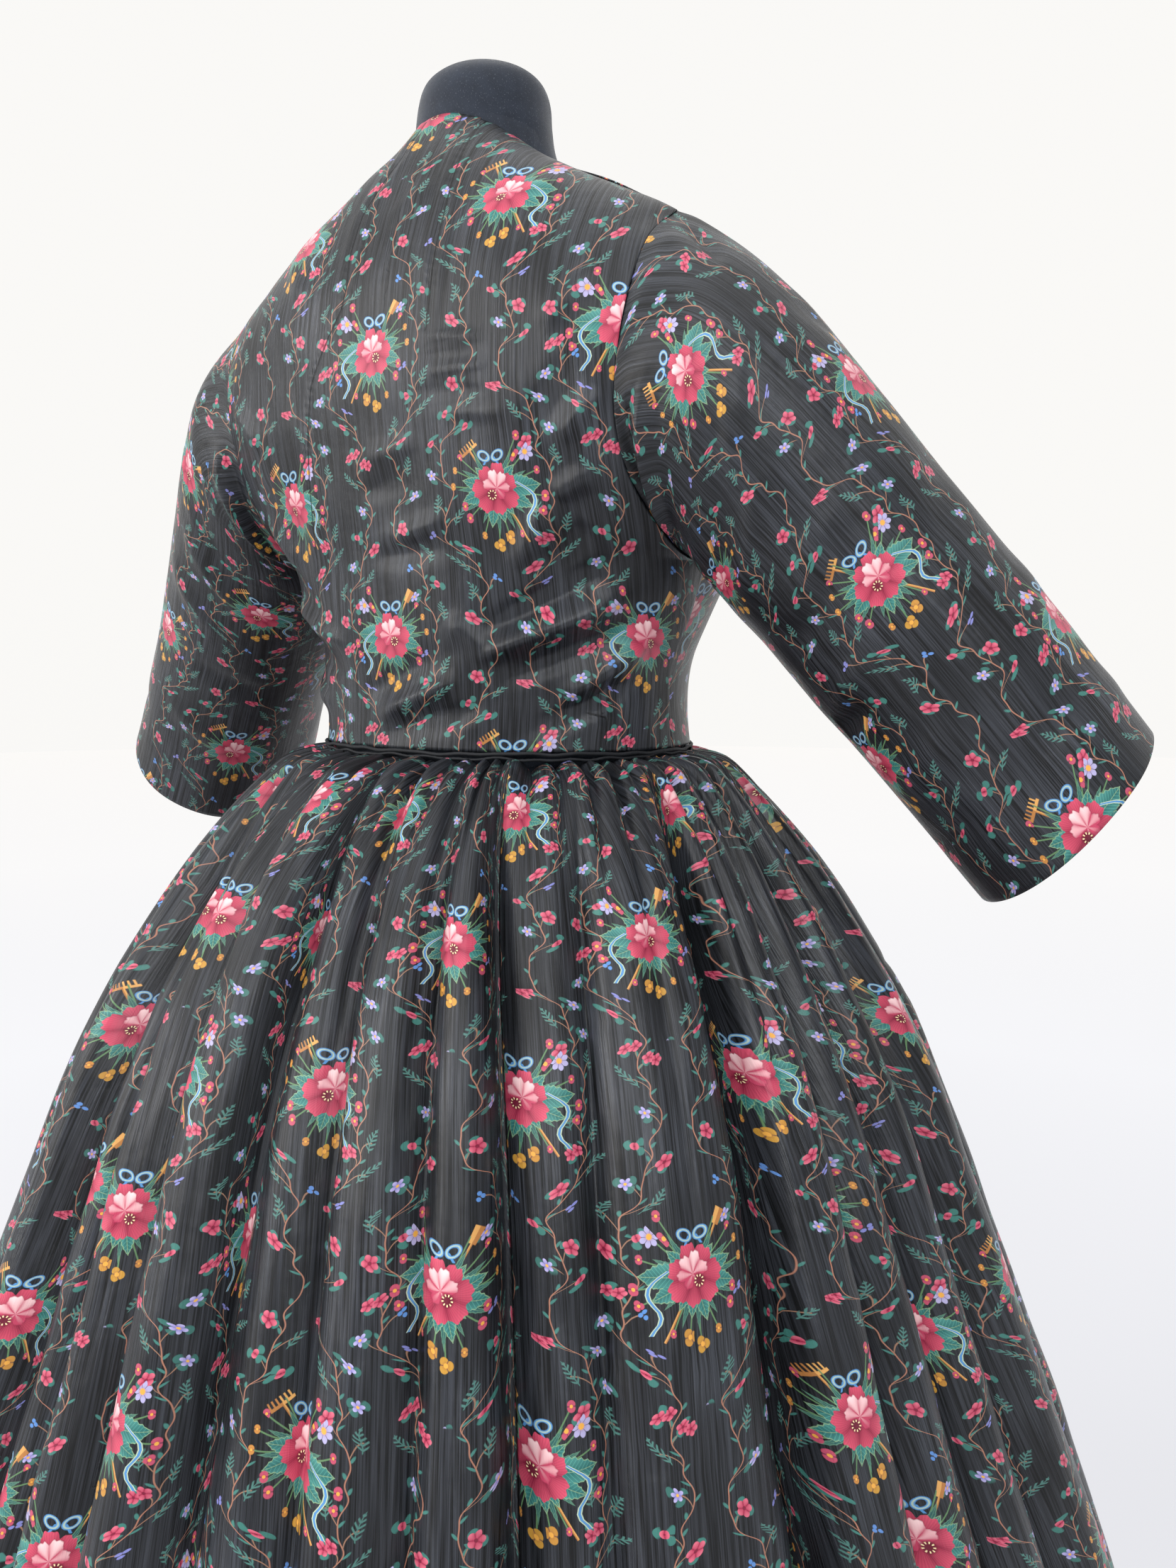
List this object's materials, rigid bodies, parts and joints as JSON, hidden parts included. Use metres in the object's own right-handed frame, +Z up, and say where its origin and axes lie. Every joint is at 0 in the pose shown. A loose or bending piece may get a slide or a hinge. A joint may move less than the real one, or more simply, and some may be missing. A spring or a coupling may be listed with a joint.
{
  "type": "gathered chintz day dress on a limbless dress form",
  "caption": "Full-length day dress of glazed floral chintz with a fitted bodice, wide three-quarter sleeves and a full gathered skirt, on a limbless dress form.",
  "frame": {"origin": "on the floor, under the middle of the waist and of the stand's round base", "axes": "+Z up; the front of the dress faces -Y, and the wearer's right side is -X"},
  "size_m": [1.1233, 1.1302, 1.451],
  "materials": {
    "chintz": "glazed cotton, charcoal ground with a printed garden-flower pattern",
    "piping": "black corded piping",
    "form_cover": "matt black jersey cover",
    "pole": "satin black enamel",
    "base": "dark stained wood"
  },
  "bodies": {
    "root": {"bodice_back": "chintz", "bodice_front_left": "chintz", "bodice_front_right": "chintz", "sleeve_right": "chintz", "sleeve_left": "chintz", "skirt_panel_1": "chintz", "skirt_panel_2": "chintz", "skirt_panel_3": "chintz", "skirt_panel_4": "chintz", "skirt_panel_5": "chintz", "waist_piping": "piping", "form_body": "form_cover", "form_pole": "pole", "form_base": "base"}
  },
  "joints": []
}
